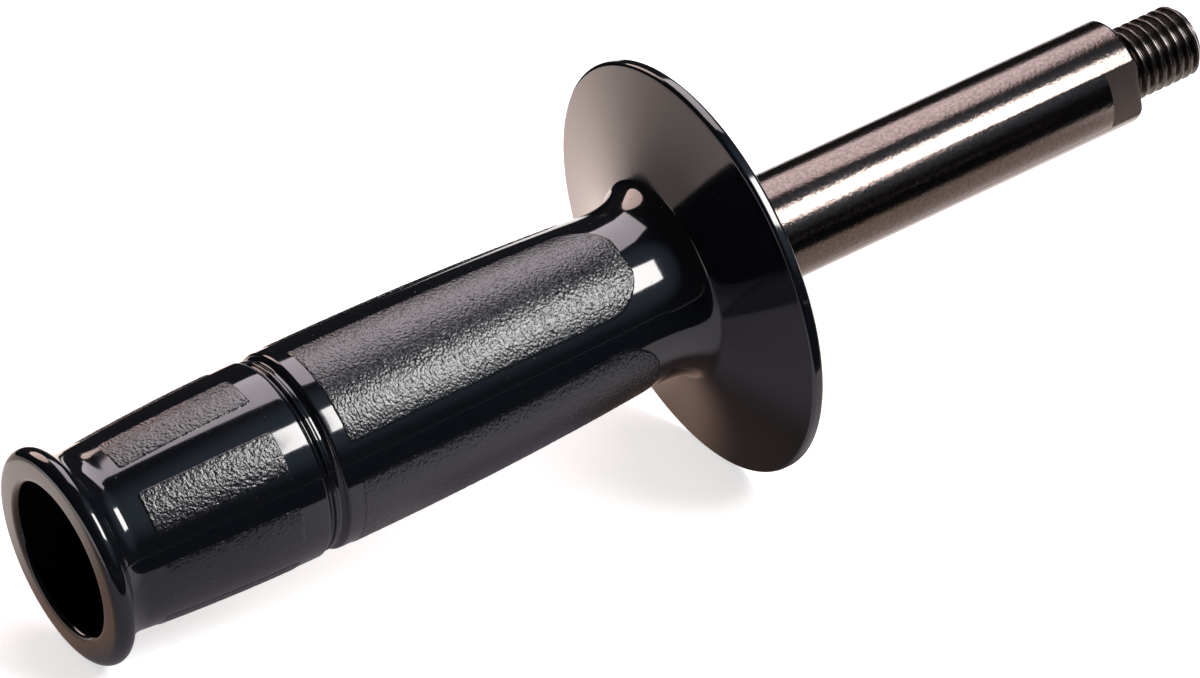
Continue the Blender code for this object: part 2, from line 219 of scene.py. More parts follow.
def shade(item, sharp=None):
    """Shades a piece smooth, keeping edges sharper than an angle in degrees."""
    item.data.shade_smooth()
    if sharp:
        item.data.set_sharp_from_angle(angle=math.radians(sharp))
    return item


def outwards(bm):
    """Makes a closed piece's faces point outwards."""
    bmesh.ops.recalc_face_normals(bm, faces=bm.faces)
    if bm.calc_volume(signed=True) < 0:
        bmesh.ops.reverse_faces(bm, faces=bm.faces)


def made(name, bm):
    """An object in the scene, from a bmesh that isn't needed any more."""
    mesh = bpy.data.meshes.new(name)
    bm.to_mesh(mesh)
    bm.free()
    return link(bpy.data.objects.new(name, mesh))


def turned(name, section, angles, closed=True, bump=None):
    """A turned mesh. An open section has to start and end on the axis."""
    bm = bmesh.new()
    rings = []
    for x, radius in section:
        if radius < ON_AXIS:
            rings.append([bm.verts.new((x, 0.0, 0.0))])
            continue
        ring = []
        for angle in angles:
            there = radius + (bump(x, radius, angle) if bump else 0.0)
            ring.append(bm.verts.new((x, there * math.cos(angle), there * math.sin(angle))))
        rings.append(ring)
    pairs = list(zip(rings, rings[1:]))
    if closed:
        pairs.append((rings[-1], rings[0]))
    count = len(angles)
    for first, second in pairs:
        for index in range(count):
            after = (index + 1) % count
            corners = [first[index % len(first)], first[after % len(first)],
                       second[after % len(second)], second[index % len(second)]]
            bm.faces.new(list(dict.fromkeys(corners)))
    outwards(bm)
    print(f"{name}: {len(bm.verts)} points, {len(bm.faces)} faces")
    return made(name, bm)


def even_angles(count):
    """Angles of a full turn in equal steps."""
    return [2 * math.pi * index / count for index in range(count)]


def bake(item):
    """Replaces a piece's mesh by what its modifiers make of it, and removes them."""
    bpy.context.view_layer.update()
    view = bpy.context.evaluated_depsgraph_get()
    mesh = bpy.data.meshes.new_from_object(item.evaluated_get(view))
    item.modifiers.clear()
    item.data = mesh


print("sections, rings and baking are ready")

# %% [markdown]
# ## The grip moulding
# One moulding makes the two-segment grip, the rim bead, the guard and the bore. Its skin is a
# mirror-like gloss, so every kink in the section would show as a line in a reflection: arcs
# are finely stepped, and the guard, its fillet and the barrel join with matching slopes. The
# guard's front is a flare, steeper the nearer it is to the hub, and the logarithm of the radius
# is a simple rule for that. The groove is drawn as a row of corners and then rounded, because a
# mould cutter leaves no sharp corner.

# %% Section of the moulding
SLOPE_STEP = 0.01 * MM
EDGE_ROUND = 0.7 * MM


def skin(start, end, thick, thin):
    """Radius along a barrel skin that thins as a parabola from one x to another."""
    return lambda x: thick - (thick - thin) * ((x - start) / (end - start)) ** 2


def slope_of(radius_at, x):
    """How fast a skin's radius changes along the axis."""
    return (radius_at(x + SLOPE_STEP) - radius_at(x)) / SLOPE_STEP


main_skin = skin(BELLY, HUB_NECK, BELLY_RADIUS, HUB_NECK_RADIUS)
end_skin = skin(SEGMENT_END, NECK, END_SEGMENT_RADIUS, NECK_RADIUS)
print(f"barrel radius {main_skin(MAIN_START) / MM:.2f} mm at the groove")

# %% Guard and main barrel
GUARD_FLARE = 7.2 * MM
GUARD_EDGE_ROUND = 0.75 * MM
HUB_FOOT_RADIUS = HUB_NECK_RADIUS + 0.16 * MM
HUB_REACH = 8.5 * MM
HUB_RISE = 3.5 * MM
BARREL_JOIN = HUB_NECK - 4.0 * MM
GUARD_EDGE_STEPS = 10
FLARE_POINTS = 40
FILLET_POINTS = 46
BARREL_POINTS = 46


def guard_front(radius):
    """Where the guard's front lies along the axis at a radius."""
    edge = GUARD_BACK - GUARD_THICKNESS
    return edge - GUARD_FLARE * math.log(GUARD_RADIUS / radius)


def guard_section():
    """From the guard's back edge over its narrow land, across the front and down the fillet."""
    size = GUARD_EDGE_ROUND
    rim = GUARD_RADIUS - size
    lean = math.pi / 2 - math.atan(GUARD_FLARE / GUARD_RADIUS)
    start = rim + size * math.cos(lean)
    front = guard_front(start) + size * math.sin(lean)
    points = arc(GUARD_BACK - size, rim, size, 90, 0, GUARD_EDGE_STEPS)
    points += arc(front, rim, size, 0, -math.degrees(lean), GUARD_EDGE_STEPS)
    foot = HUB_FOOT_RADIUS + HUB_RISE
    turn = math.atan(HUB_REACH * foot / (HUB_RISE * GUARD_FLARE))
    meet = foot - HUB_RISE * math.cos(turn)
    centre = guard_front(meet) - HUB_REACH * math.sin(turn)
    points += [(guard_front(radius), radius)
               for radius in np.linspace(start, meet, FLARE_POINTS)[1:]]
    points += [(centre + HUB_REACH * math.sin(angle), foot - HUB_RISE * math.cos(angle))
               for angle in np.linspace(turn, 0.0, FILLET_POINTS)[1:]]
    return points


def barrel_section(start):
    """From the fillet's foot along the main segment to the groove."""
    join = (BARREL_JOIN, main_skin(BARREL_JOIN))
    points = eased(start, 0.0, join, slope_of(main_skin, BARREL_JOIN), 16)[1:]
    places = np.linspace(BARREL_JOIN, MAIN_START + 2 * EDGE_ROUND, BARREL_POINTS)[1:]
    return points + [(x, main_skin(x)) for x in places]


print(f"from the guard's back edge to the fillet's foot: {len(guard_section())} points")

# %% Groove, end segment and bead
GROOVE_DEPTH = 1.0 * MM
GROOVE_SWEEP = 70
GROOVE_ROUND = 0.22 * MM
LAND_MIDDLE = SEGMENT_END + 1.35 * MM
LAND_HEIGHT = 0.55 * MM
LAND_TOP = 0.30 * MM
LAND_SIDE = 0.45 * MM
LAND_FOOT = 0.55 * MM
RIM_RADIUS = 20.5 * MM
BEAD_ROUND = 2.1 * MM
BEAD_FILLET = 6.0 * MM
NECK_SHIFT = 0.4 * MM
END_SKIN_STOP = NECK + 2.0 * MM
MOUTH_RADIUS = 14.5 * MM
MOUTH_ROUND = 1.2 * MM
MOUTH_SWEEP = 84


def groove_section():
    """The groove between the segments, two valleys with a thin land between them."""
    floor = END_SEGMENT_RADIUS - GROOVE_DEPTH
    side = floor + 0.1 * MM
    land = floor + LAND_HEIGHT
    main_edge = main_skin(MAIN_START) - EDGE_ROUND
    end_edge = END_SEGMENT_RADIUS - EDGE_ROUND
    points = arc(MAIN_START + EDGE_ROUND, main_edge, EDGE_ROUND, 0, -GROOVE_SWEEP, 12)
    other = arc(SEGMENT_END - EDGE_ROUND, end_edge, EDGE_ROUND, GROOVE_SWEEP, 0, 12)
    valley = [points.pop(), ((LAND_MIDDLE + LAND_FOOT + MAIN_START) / 2, floor),
              (LAND_MIDDLE + LAND_SIDE, side), (LAND_MIDDLE + LAND_TOP, land),
              (LAND_MIDDLE - LAND_TOP, land), (LAND_MIDDLE - LAND_SIDE, side),
              ((LAND_MIDDLE - LAND_FOOT + SEGMENT_END) / 2, floor), other[0]]
    return points + rounded(valley, GROOVE_ROUND) + other[1:]


def end_section():
    """The end segment, the fillet behind the bead, the bead and the mouth."""
    outer = NECK_RADIUS + BEAD_FILLET
    inner = RIM_RADIUS - BEAD_ROUND
    rise = outer - inner
    reach = math.sqrt((BEAD_FILLET + BEAD_ROUND) ** 2 - rise**2)
    meet = math.degrees(math.atan2(reach, rise))
    bead = RIM_FACE + BEAD_ROUND
    places = np.linspace(SEGMENT_END - 2 * EDGE_ROUND, END_SKIN_STOP, 30)
    points = [(x, end_skin(x)) for x in places]
    neck = (NECK - NECK_SHIFT, NECK_RADIUS)
    points += eased(points[-1], slope_of(end_skin, END_SKIN_STOP), neck, 0.0, 8)[1:]
    points += arc(bead + reach - NECK_SHIFT, outer, BEAD_FILLET, 180, 180 + meet, 20)[1:-1]
    points += arc(bead, inner, BEAD_ROUND, meet, -MOUTH_SWEEP, 30)
    points += arc(RIM_FACE + MOUTH_ROUND, MOUTH_RADIUS + MOUTH_ROUND, MOUTH_ROUND,
                  -MOUTH_SWEEP, -180, 14)
    return points


print(f"from groove to mouth: {len(groove_section() + end_section())} points")

# %% Inside of the moulding
BORE_END_RADIUS = 13.5 * MM
TAIL_HOLE_RADIUS = 6.3 * MM
SOCKET_RADIUS = 10.55 * MM
SOCKET_CHAMFER = 0.8 * MM
BOSS_RADIUS = 15.0 * MM
BOSS_HEIGHT = 2.5 * MM
BOSS_FOOT_RADIUS = 18.0 * MM
BACK_FROM = 20.0 * MM
BACK_TO = 37.8 * MM
INSIDE_ROUND = 0.9 * MM


def inside_section():
    """The bore, the web with the tail's hole, the rod's socket and the back of the guard."""
    corners = [(RIM_FACE + MOUTH_ROUND, MOUTH_RADIUS), (WEB_FACE, BORE_END_RADIUS),
               (WEB_FACE, TAIL_HOLE_RADIUS), (SOCKET_FLOOR, TAIL_HOLE_RADIUS),
               (SOCKET_FLOOR, SOCKET_RADIUS), (GUARD_BACK - SOCKET_CHAMFER, SOCKET_RADIUS),
               (GUARD_BACK, SOCKET_RADIUS + SOCKET_CHAMFER), (GUARD_BACK, BOSS_RADIUS),
               (GUARD_BACK - BOSS_HEIGHT, BOSS_FOOT_RADIUS)]
    corners += [(guard_front(radius) + GUARD_THICKNESS, radius)
                for radius in np.linspace(BACK_FROM, BACK_TO, 12)]
    return rounded(corners, INSIDE_ROUND)[1:]


def moulding_section():
    """The whole closed section, once round from the guard's edge."""
    points = guard_section()
    points += barrel_section(points[-1])
    points += groove_section() + end_section()
    return points + inside_section()


print(f"the moulding's section has {len(moulding_section())} points")

# %% [markdown]
# The two halves of the mould meet in the plane z = 0, and leave a hair line of flash along the
# grip. It is part of the skin: a few extra angles either side of that plane, lifted by a few
# hundredths of a millimetre. The guard and the bore have none.

# %% Turn the moulding
FLASH_HEIGHT = 0.05 * MM
FLASH_WIDTH = 0.11 * MM
FLASH_RADII = (15.9 * MM, 20.0 * MM)
FLASH_STEPS = (-1.4, -0.8, -0.4, 0.4, 0.8, 1.4)
GRIP_STEPS = 192


def flash(x, radius, angle):
    """Lift of the skin at the line where the mould's halves meet."""
    if radius < FLASH_RADII[0] or radius > FLASH_RADII[1] or x > HUB_NECK:
        return 0.0
    off = radius * math.sin(angle)
    return FLASH_HEIGHT * math.exp(-((off / FLASH_WIDTH) ** 2))


split_angles = [math.radians(side + step) for side in (0.0, 180.0) for step in FLASH_STEPS]
grip_angles = sorted(even_angles(GRIP_STEPS) + [angle % (2 * math.pi) for angle in split_angles])
grip = shade(turned("grip", moulding_section(), grip_angles, bump=flash), sharp=40)
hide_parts("grip_moulding")

# %% [markdown]
# ## Grained pads
# Four long pads lie round the main segment and eight short ones round the end segment, each a
# raised patch with a sparked grain that gives the hand a hold. They repeat round the axis and
# follow a rule, so geometry nodes make them: a flat grid is narrowed to the pad's outline,
# wrapped on the barrel, lifted, grained, and copied round the axis. The grid's border dives
# under the skin so that the pad's edge reads as a small step. The grain needs a fine grid, so
# the four long pads are made as two pieces of two opposite pads each.

# %% Helpers for node groups
def new_group(name, sizes):
    """A geometry node group with named inputs, its graph and the wires of those inputs."""
    tree = bpy.data.node_groups.new(name, "GeometryNodeTree")
    tree.interface.new_socket("Geometry", in_out="OUTPUT", socket_type="NodeSocketGeometry")
    for label, kind in sizes.items():
        tree.interface.new_socket(label, in_out="INPUT", socket_type=kind)
    graph = Graph(tree)
    entry = tree.nodes.new("NodeGroupInput")
    return graph, {label: Wire(graph, entry.outputs[label]) for label in sizes}


def run_group(name, tree, values):
    """An object whose mesh is what a node group makes from these values."""
    item = link(bpy.data.objects.new(name, bpy.data.meshes.new(name)))
    modifier = item.modifiers.new(name, "NODES")
    modifier.node_group = tree
    for entry in tree.interface.items_tree:
        if entry.in_out == "INPUT":
            modifier[entry.identifier] = values[entry.name]
    bake(item)
    print(f"{name}: {len(item.data.polygons)} faces")
    return item


def grid_share(graph, rows, columns, width):
    """A flat grid, and where each of its points lies: X from -0.5 to 0.5, Y out to half width."""
    grid = graph.add("GeometryNodeMeshGrid", None,
                     {"Size X": 1.0, "Size Y": width, "Vertices X": rows, "Vertices Y": columns})
    spot = graph.add("GeometryNodeInputPosition")
    return grid, graph.add("ShaderNodeSeparateXYZ", None, {0: spot})


def wrapped(graph, grid, x, radius, angle):
    """The grid rolled round the axis, by each point's x, radius and angle from +Y towards +Z."""
    place = graph.add("ShaderNodeCombineXYZ", None,
                      {"X": x, "Y": radius * graph.math("COSINE", angle),
                       "Z": radius * graph.math("SINE", angle)})
    return graph.add("GeometryNodeSetPosition", None, {"Geometry": grid, "Position": place})


def finished(shape, material):
    """Ends a tree with real geometry that has its material, because the export drops instances."""
    graph = shape.graph
    solid = graph.add("GeometryNodeRealizeInstances", None, {"Geometry": shape})
    done = graph.add("GeometryNodeSetMaterial", None, {"Geometry": solid, "Material": material})
    done.to(graph.tree.nodes.new("NodeGroupOutput"), 0)
    return graph.tree


def sockets(counts, sizes):
    """The inputs of a group and their kinds: whole numbers, sizes, and the material."""
    return {**dict.fromkeys(counts, "NodeSocketInt"), **dict.fromkeys(sizes, "NodeSocketFloat"),
            "Material": "NodeSocketMaterial"}


print("helpers for node groups are ready")

# %% Node group for a ring of pads
PAD_SIZES = sockets(
    ["Count", "Rows", "Columns"],
    ["Turn", "Foot", "Top", "Foot Width", "Top Width", "Foot Round", "Top Round",
     "Skin Start", "Skin End", "Skin Thick", "Skin Thin", "Height", "Edge", "Dive",
     "Grain", "Grain Height", "Seed"])
GRAIN_LOW = 0.30
GRAIN_HIGH = 0.70


def corner_cut(graph, gap, size):
    """How far a rounded corner pulls the outline in, at a distance from the pad's end."""
    left = graph.math("MAXIMUM", size - gap, 0.0)
    return size - graph.math("SQRT", graph.math("MAXIMUM", size * size - left * left, 0.0))


def pad_group():
    """Pads on a barrel whose skin thins as a parabola, grained and repeated round the axis."""
    graph, size = new_group("grained pads", PAD_SIZES)
    grid, place = grid_share(graph, size["Rows"], size["Columns"], 2.0)
    share = place + 0.5
    side = place.out("Y")
    length = size["Top"] - size["Foot"]
    x = size["Foot"] + length * share
    full = (size["Foot Width"] + (size["Top Width"] - size["Foot Width"]) * share) * 0.5
    half = (full - corner_cut(graph, length * share, size["Foot Round"])
            - corner_cut(graph, length * (1.0 - share), size["Top Round"]))
    across = half * side
    along = (x - size["Skin Start"]) / (size["Skin End"] - size["Skin Start"])
    bare = size["Skin Thick"] - (size["Skin Thick"] - size["Skin Thin"]) * along * along
    nearest = graph.math("MINIMUM", length * share, length * (1.0 - share))
    nearest = graph.math("MINIMUM", nearest, half * (1.0 - graph.math("ABSOLUTE", side)))
    inside = nearest.step(0.0, size["Edge"])
    angle = graph.math("ARCSINE", across / bare)
    seat = graph.add("ShaderNodeCombineXYZ", None, {"X": x, "Y": across, "Z": size["Seed"]})
    grain = graph.add("ShaderNodeTexNoise", None,
                      {"Vector": seat, "Scale": 1.0 / size["Grain"], "Detail": 0.0})
    lift = grain.step(GRAIN_LOW, GRAIN_HIGH, -0.5, 0.5) * size["Grain Height"]
    radius = bare - size["Dive"] + (size["Dive"] + size["Height"] + lift) * inside
    pad = wrapped(graph, grid, x, radius, angle)
    points = graph.add("GeometryNodeMeshLine", {"mode": "OFFSET"},
                       {"Count": size["Count"], "Offset": (0.0, 0.0, 0.0)})
    turn = graph.add("GeometryNodeInputIndex") * (2 * math.pi) / size["Count"] + size["Turn"]
    rotation = graph.add("ShaderNodeCombineXYZ", None, {"X": turn})
    ring = graph.add("GeometryNodeInstanceOnPoints", None,
                     {"Points": points, "Instance": pad, "Rotation": rotation})
    return finished(ring, size["Material"])


pad_tree = pad_group()
print(f"the pad group has {len(pad_tree.nodes)} nodes")

# %% [markdown]
# ## Plastic finishes
# The moulding is black with a trace of blue, and polished. Its reflections are sharp, but not
# perfect: fine handling scratches and a very slight orange peel break them up, and a little
# dust lies on it. The pads are the same plastic with a fine grain on top of the modelled one.

# %% Materials for the plastic
def new_material(name, roughness, metallic=0.0, gloss=0.5):
    """A Principled material, where its points are, and a function that feeds its sockets."""
    material = bpy.data.materials.new(name)
    material.use_nodes = True
    shader = material.node_tree.nodes["Principled BSDF"]
    shader.inputs["Roughness"].default_value = roughness
    shader.inputs["Metallic"].default_value = metallic
    shader.inputs["Specular IOR Level"].default_value = gloss

    def feed(socket, wire):
        wire.to(shader, socket)

    return material, place_of(Graph(material.node_tree)), feed


def place_of(graph, stretch=(1.0, 1.0, 1.0)):
    """Object coordinates in millimetres, stretched where a pattern runs one way."""
    spot = graph.add("ShaderNodeTexCoord", output="Object")
    return graph.add("ShaderNodeMapping", None,
                     {"Vector": spot, "Scale": [side / MM for side in stretch]})


def noise(spot, scale, detail=2.0, roughness=0.5):
    """Smooth noise, with features of about 1 / scale millimetres."""
    values = {"Vector": spot, "Scale": scale, "Detail": detail, "Roughness": roughness}
    return spot.graph.add("ShaderNodeTexNoise", None, values)


def blend(share, first, last):
    """A colour between two colours."""
    return share.graph.add("ShaderNodeMix", {"data_type": "RGBA"},
                           {"Factor": share, 6: first, 7: last}, output=2)


def fade(value, low, high, first, last):
    """A colour that goes from first to last as a value goes from low to high."""
    return blend(value.step(low, high), first, last)


def bumped(height, strength, depth, under=None):
    """A normal from a height, where a height of 1 is this many millimetres deep."""
    inputs = {"Strength": strength, "Distance": depth * MM, "Height": height}
    if under:
        inputs["Normal"] = under
    return height.graph.add("ShaderNodeBump", None, inputs)


INK = (0.0028, 0.0038, 0.0062, 1.0)
INK_WORN = (0.0048, 0.0056, 0.0078, 1.0)
DUST = (0.030, 0.026, 0.024, 1.0)
PLASTIC_GLOSS = 0.75


def polished_plastic():
    """Gloss with dust specks, lengthwise hair scratches and a trace of orange peel."""
    material, spot, feed = new_material("polished black plastic", 0.08, gloss=PLASTIC_GLOSS)
    specks = noise(spot, 1.6, detail=1.0).step(0.77, 0.82)
    hair = noise(place_of(spot.graph, stretch=(0.35, 3.0, 3.0)), 1.3, detail=3.0)
    scratches = hair.step(0.62, 0.72)
    tone = blend(noise(spot, 0.06), INK, INK_WORN)
    feed("Base Color", blend(specks * 0.6, tone, DUST))
    feed("Roughness", 0.055 + noise(spot, 0.11) * 0.05 + scratches * 0.05 + specks * 0.3)
    peel = bumped(noise(spot, 0.22, detail=1.0), strength=0.25, depth=0.05)
    feed("Normal", bumped(specks, strength=0.3, depth=0.02, under=peel))
    return material


def grained_plastic():
    """The same plastic, duller, with pits that are too fine to model."""
    material, spot, feed = new_material("grained black plastic", 0.3, gloss=PLASTIC_GLOSS)
    feed("Base Color", blend(noise(spot, 0.9), INK, INK_WORN))
    feed("Roughness", 0.17 + noise(spot, 0.8) * 0.12)
    feed("Normal", bumped(noise(spot, 2.6), strength=0.9, depth=0.10))
    return material


gloss = polished_plastic()
grained = grained_plastic()
grip.data.materials.append(gloss)
print("plastic finishes:", gloss.name, "and", grained.name)

# %% Make the pads
WELD = 0.001 * MM
main_pad_sizes = {
    "Count": 2, "Turn": math.pi / 4, "Rows": 440, "Columns": 96, "Foot": MAIN_START + 3.0 * MM,
    "Top": HUB_NECK - 2.8 * MM, "Foot Width": 22.2 * MM, "Top Width": 20.2 * MM,
    "Foot Round": 1.4 * MM, "Top Round": 8.6 * MM, "Skin Start": BELLY, "Skin End": HUB_NECK,
    "Skin Thick": BELLY_RADIUS, "Skin Thin": HUB_NECK_RADIUS, "Height": 0.10 * MM,
    "Edge": 0.8 * MM, "Dive": 0.10 * MM, "Grain": 0.34 * MM, "Grain Height": 0.085 * MM,
    "Seed": 3.0, "Material": grained}
end_pad_sizes = {
    **main_pad_sizes,
    "Count": 8, "Turn": math.pi / 8, "Rows": 136, "Columns": 44, "Foot": NECK + 3.7 * MM,
    "Top": SEGMENT_END - 5.4 * MM, "Foot Width": 8.5 * MM, "Top Width": 8.5 * MM,
    "Foot Round": 1.2 * MM, "Top Round": 1.2 * MM, "Skin Start": SEGMENT_END,
    "Skin End": NECK, "Skin Thick": END_SEGMENT_RADIUS, "Skin Thin": NECK_RADIUS,
    "Edge": 0.5 * MM, "Grain Height": 0.080 * MM, "Seed": 8.0}


def close_underside(item):
    """Closes the sheet's border with a face that lies inside the moulding's wall."""
    bm = bmesh.new()
    bm.from_mesh(item.data)
    bmesh.ops.remove_doubles(bm, verts=bm.verts, dist=WELD)
    border = [edge for edge in bm.edges if edge.is_boundary]
    bmesh.ops.holes_fill(bm, edges=border, sides=0)
    bmesh.ops.recalc_face_normals(bm, faces=bm.faces)
    bm.to_mesh(item.data)
    bm.free()
    return item


other_pad_sizes = dict(main_pad_sizes, Turn=-math.pi / 4, Seed=5.0)
main_pads = close_underside(run_group("main_pads", pad_tree, main_pad_sizes))
other_pads = close_underside(run_group("other_pads", pad_tree, other_pad_sizes))
end_pads = close_underside(run_group("end_pads", pad_tree, end_pad_sizes))
for pads in (main_pads, other_pads, end_pads):
    shade(pads)

# %% [markdown]
# ## The spindle
# The rod is turned bar with a chamfered shoulder. Two flats for a spanner are milled beside
# the shoulder, so a Boolean cuts them, and a narrow bevel takes the razor edge off, as
# tumbling does on the real one. The threads are separate pieces that start inside the rod.

# %% Turn the rod and mill its flats
WRENCH_SIZE = 17.0 * MM
FLAT_LENGTH = 7.2 * MM
FLAT_TURN = math.radians(13.5)
SEAT_GAP = 0.3 * MM
TAIL_SHOULDER = SOCKET_FLOOR + SEAT_GAP
TAIL_CHAMFER = 1.0 * MM
TAIL_RADIUS = 6.0 * MM
CORE_END = WEB_FACE - 2.0 * MM
ROD_CHAMFER = 0.5 * MM
ROD_ROUND = 0.35 * MM
ROD_STEPS = 160


def rod_section():
    """From the shoulder's middle along the rod to the tail's plain core."""
    corners = [(0.0, 0.0), (0.0, ROD_RADIUS - ROD_CHAMFER), (-ROD_CHAMFER, ROD_RADIUS),
               (TAIL_SHOULDER + TAIL_CHAMFER, ROD_RADIUS),
               (TAIL_SHOULDER, ROD_RADIUS - TAIL_CHAMFER),
               (TAIL_SHOULDER, TAIL_RADIUS), (CORE_END, TAIL_RADIUS), (CORE_END, 0.0)]
    return rounded(corners, ROD_ROUND, steps=3)


def flat_cutter(side):
    """A block whose inner face is one of the two flats."""
    depth = ROD_RADIUS
    bm = bmesh.new()
    bmesh.ops.create_cube(bm, size=1.0)
    bmesh.ops.scale(bm, vec=(2 * FLAT_LENGTH, depth, 3 * ROD_RADIUS), verts=bm.verts)
    bmesh.ops.translate(bm, vec=(0.0, -side * (WRENCH_SIZE + depth) / 2, 0.0), verts=bm.verts)
    bmesh.ops.rotate(bm, matrix=Matrix.Rotation(FLAT_TURN, 3, "X"), verts=bm.verts)
    return made("flat cutter", bm)


rod = turned("rod", rod_section(), even_angles(ROD_STEPS), closed=False)
cutters = [flat_cutter(side) for side in (1, -1)]
for cutter in cutters:
    cut = rod.modifiers.new("mill a flat", "BOOLEAN")
    cut.operation = "DIFFERENCE"
    cut.solver = "EXACT"
    cut.object = cutter
edge = rod.modifiers.new("soften edges", "BEVEL")
edge.width = 0.12 * MM
edge.segments = 2
edge.limit_method = "ANGLE"
edge.angle_limit = math.radians(28)
bake(rod)
for cutter in cutters:
    bpy.data.objects.remove(cutter)
shade(rod, sharp=24)
print(f"rod: {len(rod.data.polygons)} faces with its flats")

# %% [markdown]
# ## Threads
# A thread is one rule applied everywhere: the radius depends only on how far a point is along
# its own helix. Geometry nodes roll a grid into a tube whose rows climb one pitch per turn,
# a cone like the one that chamfers a real thread trims its far end, and its start runs out in a
# plain neck. The first and last rows go to the axis, which closes the ends. Along the thread the
# grid's two sides meet one pitch apart. That isn't a whole number of rows, so their points don't
# pair up and this seam stays unjoined. The print counts its edges.

# %% Node group for a thread
THREAD_SIZES = sockets(["Rows", "Columns"], ["Start", "End", "Radius", "Depth", "Pitch",
                                             "End Chamfer", "Neck Radius", "Neck Length"])
CREST = 0.16
VALLEY = 0.90
THREAD_WELD = 2e-6


def thread_group():
    """A threaded tube with a cone on its far end and a plain neck at its start."""
    graph, size = new_group("rolled thread", THREAD_SIZES)
    grid, place = grid_share(graph, size["Rows"], size["Columns"], 1.0)
    round_share = place.out("Y") + 0.5
    length = size["End"] - size["Start"]
    travel = (place + 0.5) * (length + size["Pitch"])
    x = graph.math("MAXIMUM", travel - size["Pitch"] * round_share, 0.0)
    x = graph.math("MINIMUM", x, length)
    turns = travel / size["Pitch"]
    ridge = graph.math("ABSOLUTE", graph.math("FRACT", turns) * 2.0 - 1.0)
    thread = size["Radius"] - size["Depth"] * ridge.step(CREST, VALLEY)
    end_cone = (size["Radius"] - size["End Chamfer"]) + (length - x)
    start_cone = size["Neck Radius"] + graph.math("MAXIMUM", x - size["Neck Length"], 0.0)
    radius = graph.math("MINIMUM", thread, graph.math("MINIMUM", end_cone, start_cone))
    radius = radius * (1.0 - graph.math("COMPARE", graph.math("ABSOLUTE", place), 0.5, 1e-5))
    tube = wrapped(graph, grid, size["Start"] + x, radius, round_share * (-2 * math.pi))
    merged = graph.add("GeometryNodeMergeByDistance", None,
                       {"Geometry": tube, "Distance": THREAD_WELD})
    return finished(merged, size["Material"])


thread_tree = thread_group()
print(f"the thread group has {len(thread_tree.nodes)} nodes")

# %% [markdown]
# ## Steel finishes
# The rod is plated a dark, slightly warm grey. Drawn bar keeps a fine pebbled skin under the
# plating, so the edge of each reflection breaks into specks. The milled flats are duller and
# show the cutter's marks, and the rolled thread is patchy with dark oil. The small fasteners
# are zinc plated.

# %% Materials for the steel
NICKEL = (0.140, 0.115, 0.104, 1.0)
NICKEL_DARK = (0.098, 0.081, 0.073, 1.0)
MILLED = (0.122, 0.104, 0.098, 1.0)
THREAD = (0.150, 0.135, 0.128, 1.0)
THREAD_DARK = (0.030, 0.026, 0.024, 1.0)
ZINC = (0.60, 0.60, 0.57, 1.0)
ZINC_DULL = (0.34, 0.34, 0.33, 1.0)


def plated_rod():
    """Pebbled plating over the long marks of drawn bar."""
    material, spot, feed = new_material("plated rod", 0.15, metallic=1.0)
    pebbles = noise(spot, 1.5, detail=3.0, roughness=0.6)
    drawn = noise(place_of(spot.graph, stretch=(0.12, 2.0, 2.0)), 1.0, detail=3.0)
    feed("Base Color", fade(pebbles, 0.35, 0.7, NICKEL_DARK, NICKEL))
    feed("Roughness", 0.11 + pebbles * 0.09)
    drawn_marks = bumped(drawn, strength=0.2, depth=0.02)
    feed("Normal", bumped(pebbles, strength=0.5, depth=0.07, under=drawn_marks))
    return material


def milled_steel():
    """A dull face with the bands that a milling cutter leaves."""
    material, spot, feed = new_material("milled flat", 0.5, metallic=1.0)
    marks = spot.graph.add("ShaderNodeTexWave", {"wave_type": "BANDS", "bands_direction": "X"},
                           {"Vector": spot, "Scale": 0.55, "Distortion": 1.2, "Detail": 2.0})
    feed("Base Color", blend(noise(spot, 0.5), MILLED, NICKEL))
    feed("Roughness", 0.42 + noise(spot, 1.2) * 0.2)
    feed("Normal", bumped(marks, strength=0.3, depth=0.02))
    return material


def rolled_steel():
    """Steel with dark, oily patches."""
    material, spot, feed = new_material("rolled thread", 0.25, metallic=1.0)
    oil = noise(spot, 0.9, detail=3.0)
    feed("Base Color", blend(oil, THREAD_DARK, THREAD))
    feed("Roughness", 0.18 + noise(spot, 1.6) * 0.18)
    feed("Normal", bumped(noise(spot, 2.5), strength=0.3, depth=0.03))
    return material


def zinc_plate():
    """Cloudy bright plating."""
    material, spot, feed = new_material("zinc plate", 0.35, metallic=1.0)
    cloud = noise(spot, 0.35, detail=3.0)
    feed("Base Color", fade(cloud, 0.35, 0.7, ZINC_DULL, ZINC))
    feed("Roughness", 0.28 + noise(spot, 0.8) * 0.2)
    feed("Normal", bumped(noise(spot, 2.0), strength=0.25, depth=0.04))
    return material


rod_finish = plated_rod()
flat_finish = milled_steel()
thread_finish = rolled_steel()
zinc = zinc_plate()
print("steel finishes:", ", ".join(m.name for m in (rod_finish, flat_finish, thread_finish, zinc)))

# %% Give the rod its two finishes
rod.data.materials.append(rod_finish)
rod.data.materials.append(flat_finish)
PARALLEL = 0.999
flat_normal = Vector((0.0, -math.cos(FLAT_TURN), -math.sin(FLAT_TURN)))
flat_reach = WRENCH_SIZE / 2 + 0.01 * MM
flat_count = 0
for face in rod.data.polygons:
    reach = abs(face.center.dot(flat_normal))
    on_flat = abs(face.normal.dot(flat_normal)) > PARALLEL and face.center.x > -FLAT_LENGTH
    if on_flat and reach < flat_reach:
        face.material_index = 1
        flat_count += 1
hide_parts("spindle")
print(f"{flat_count} faces are milled")

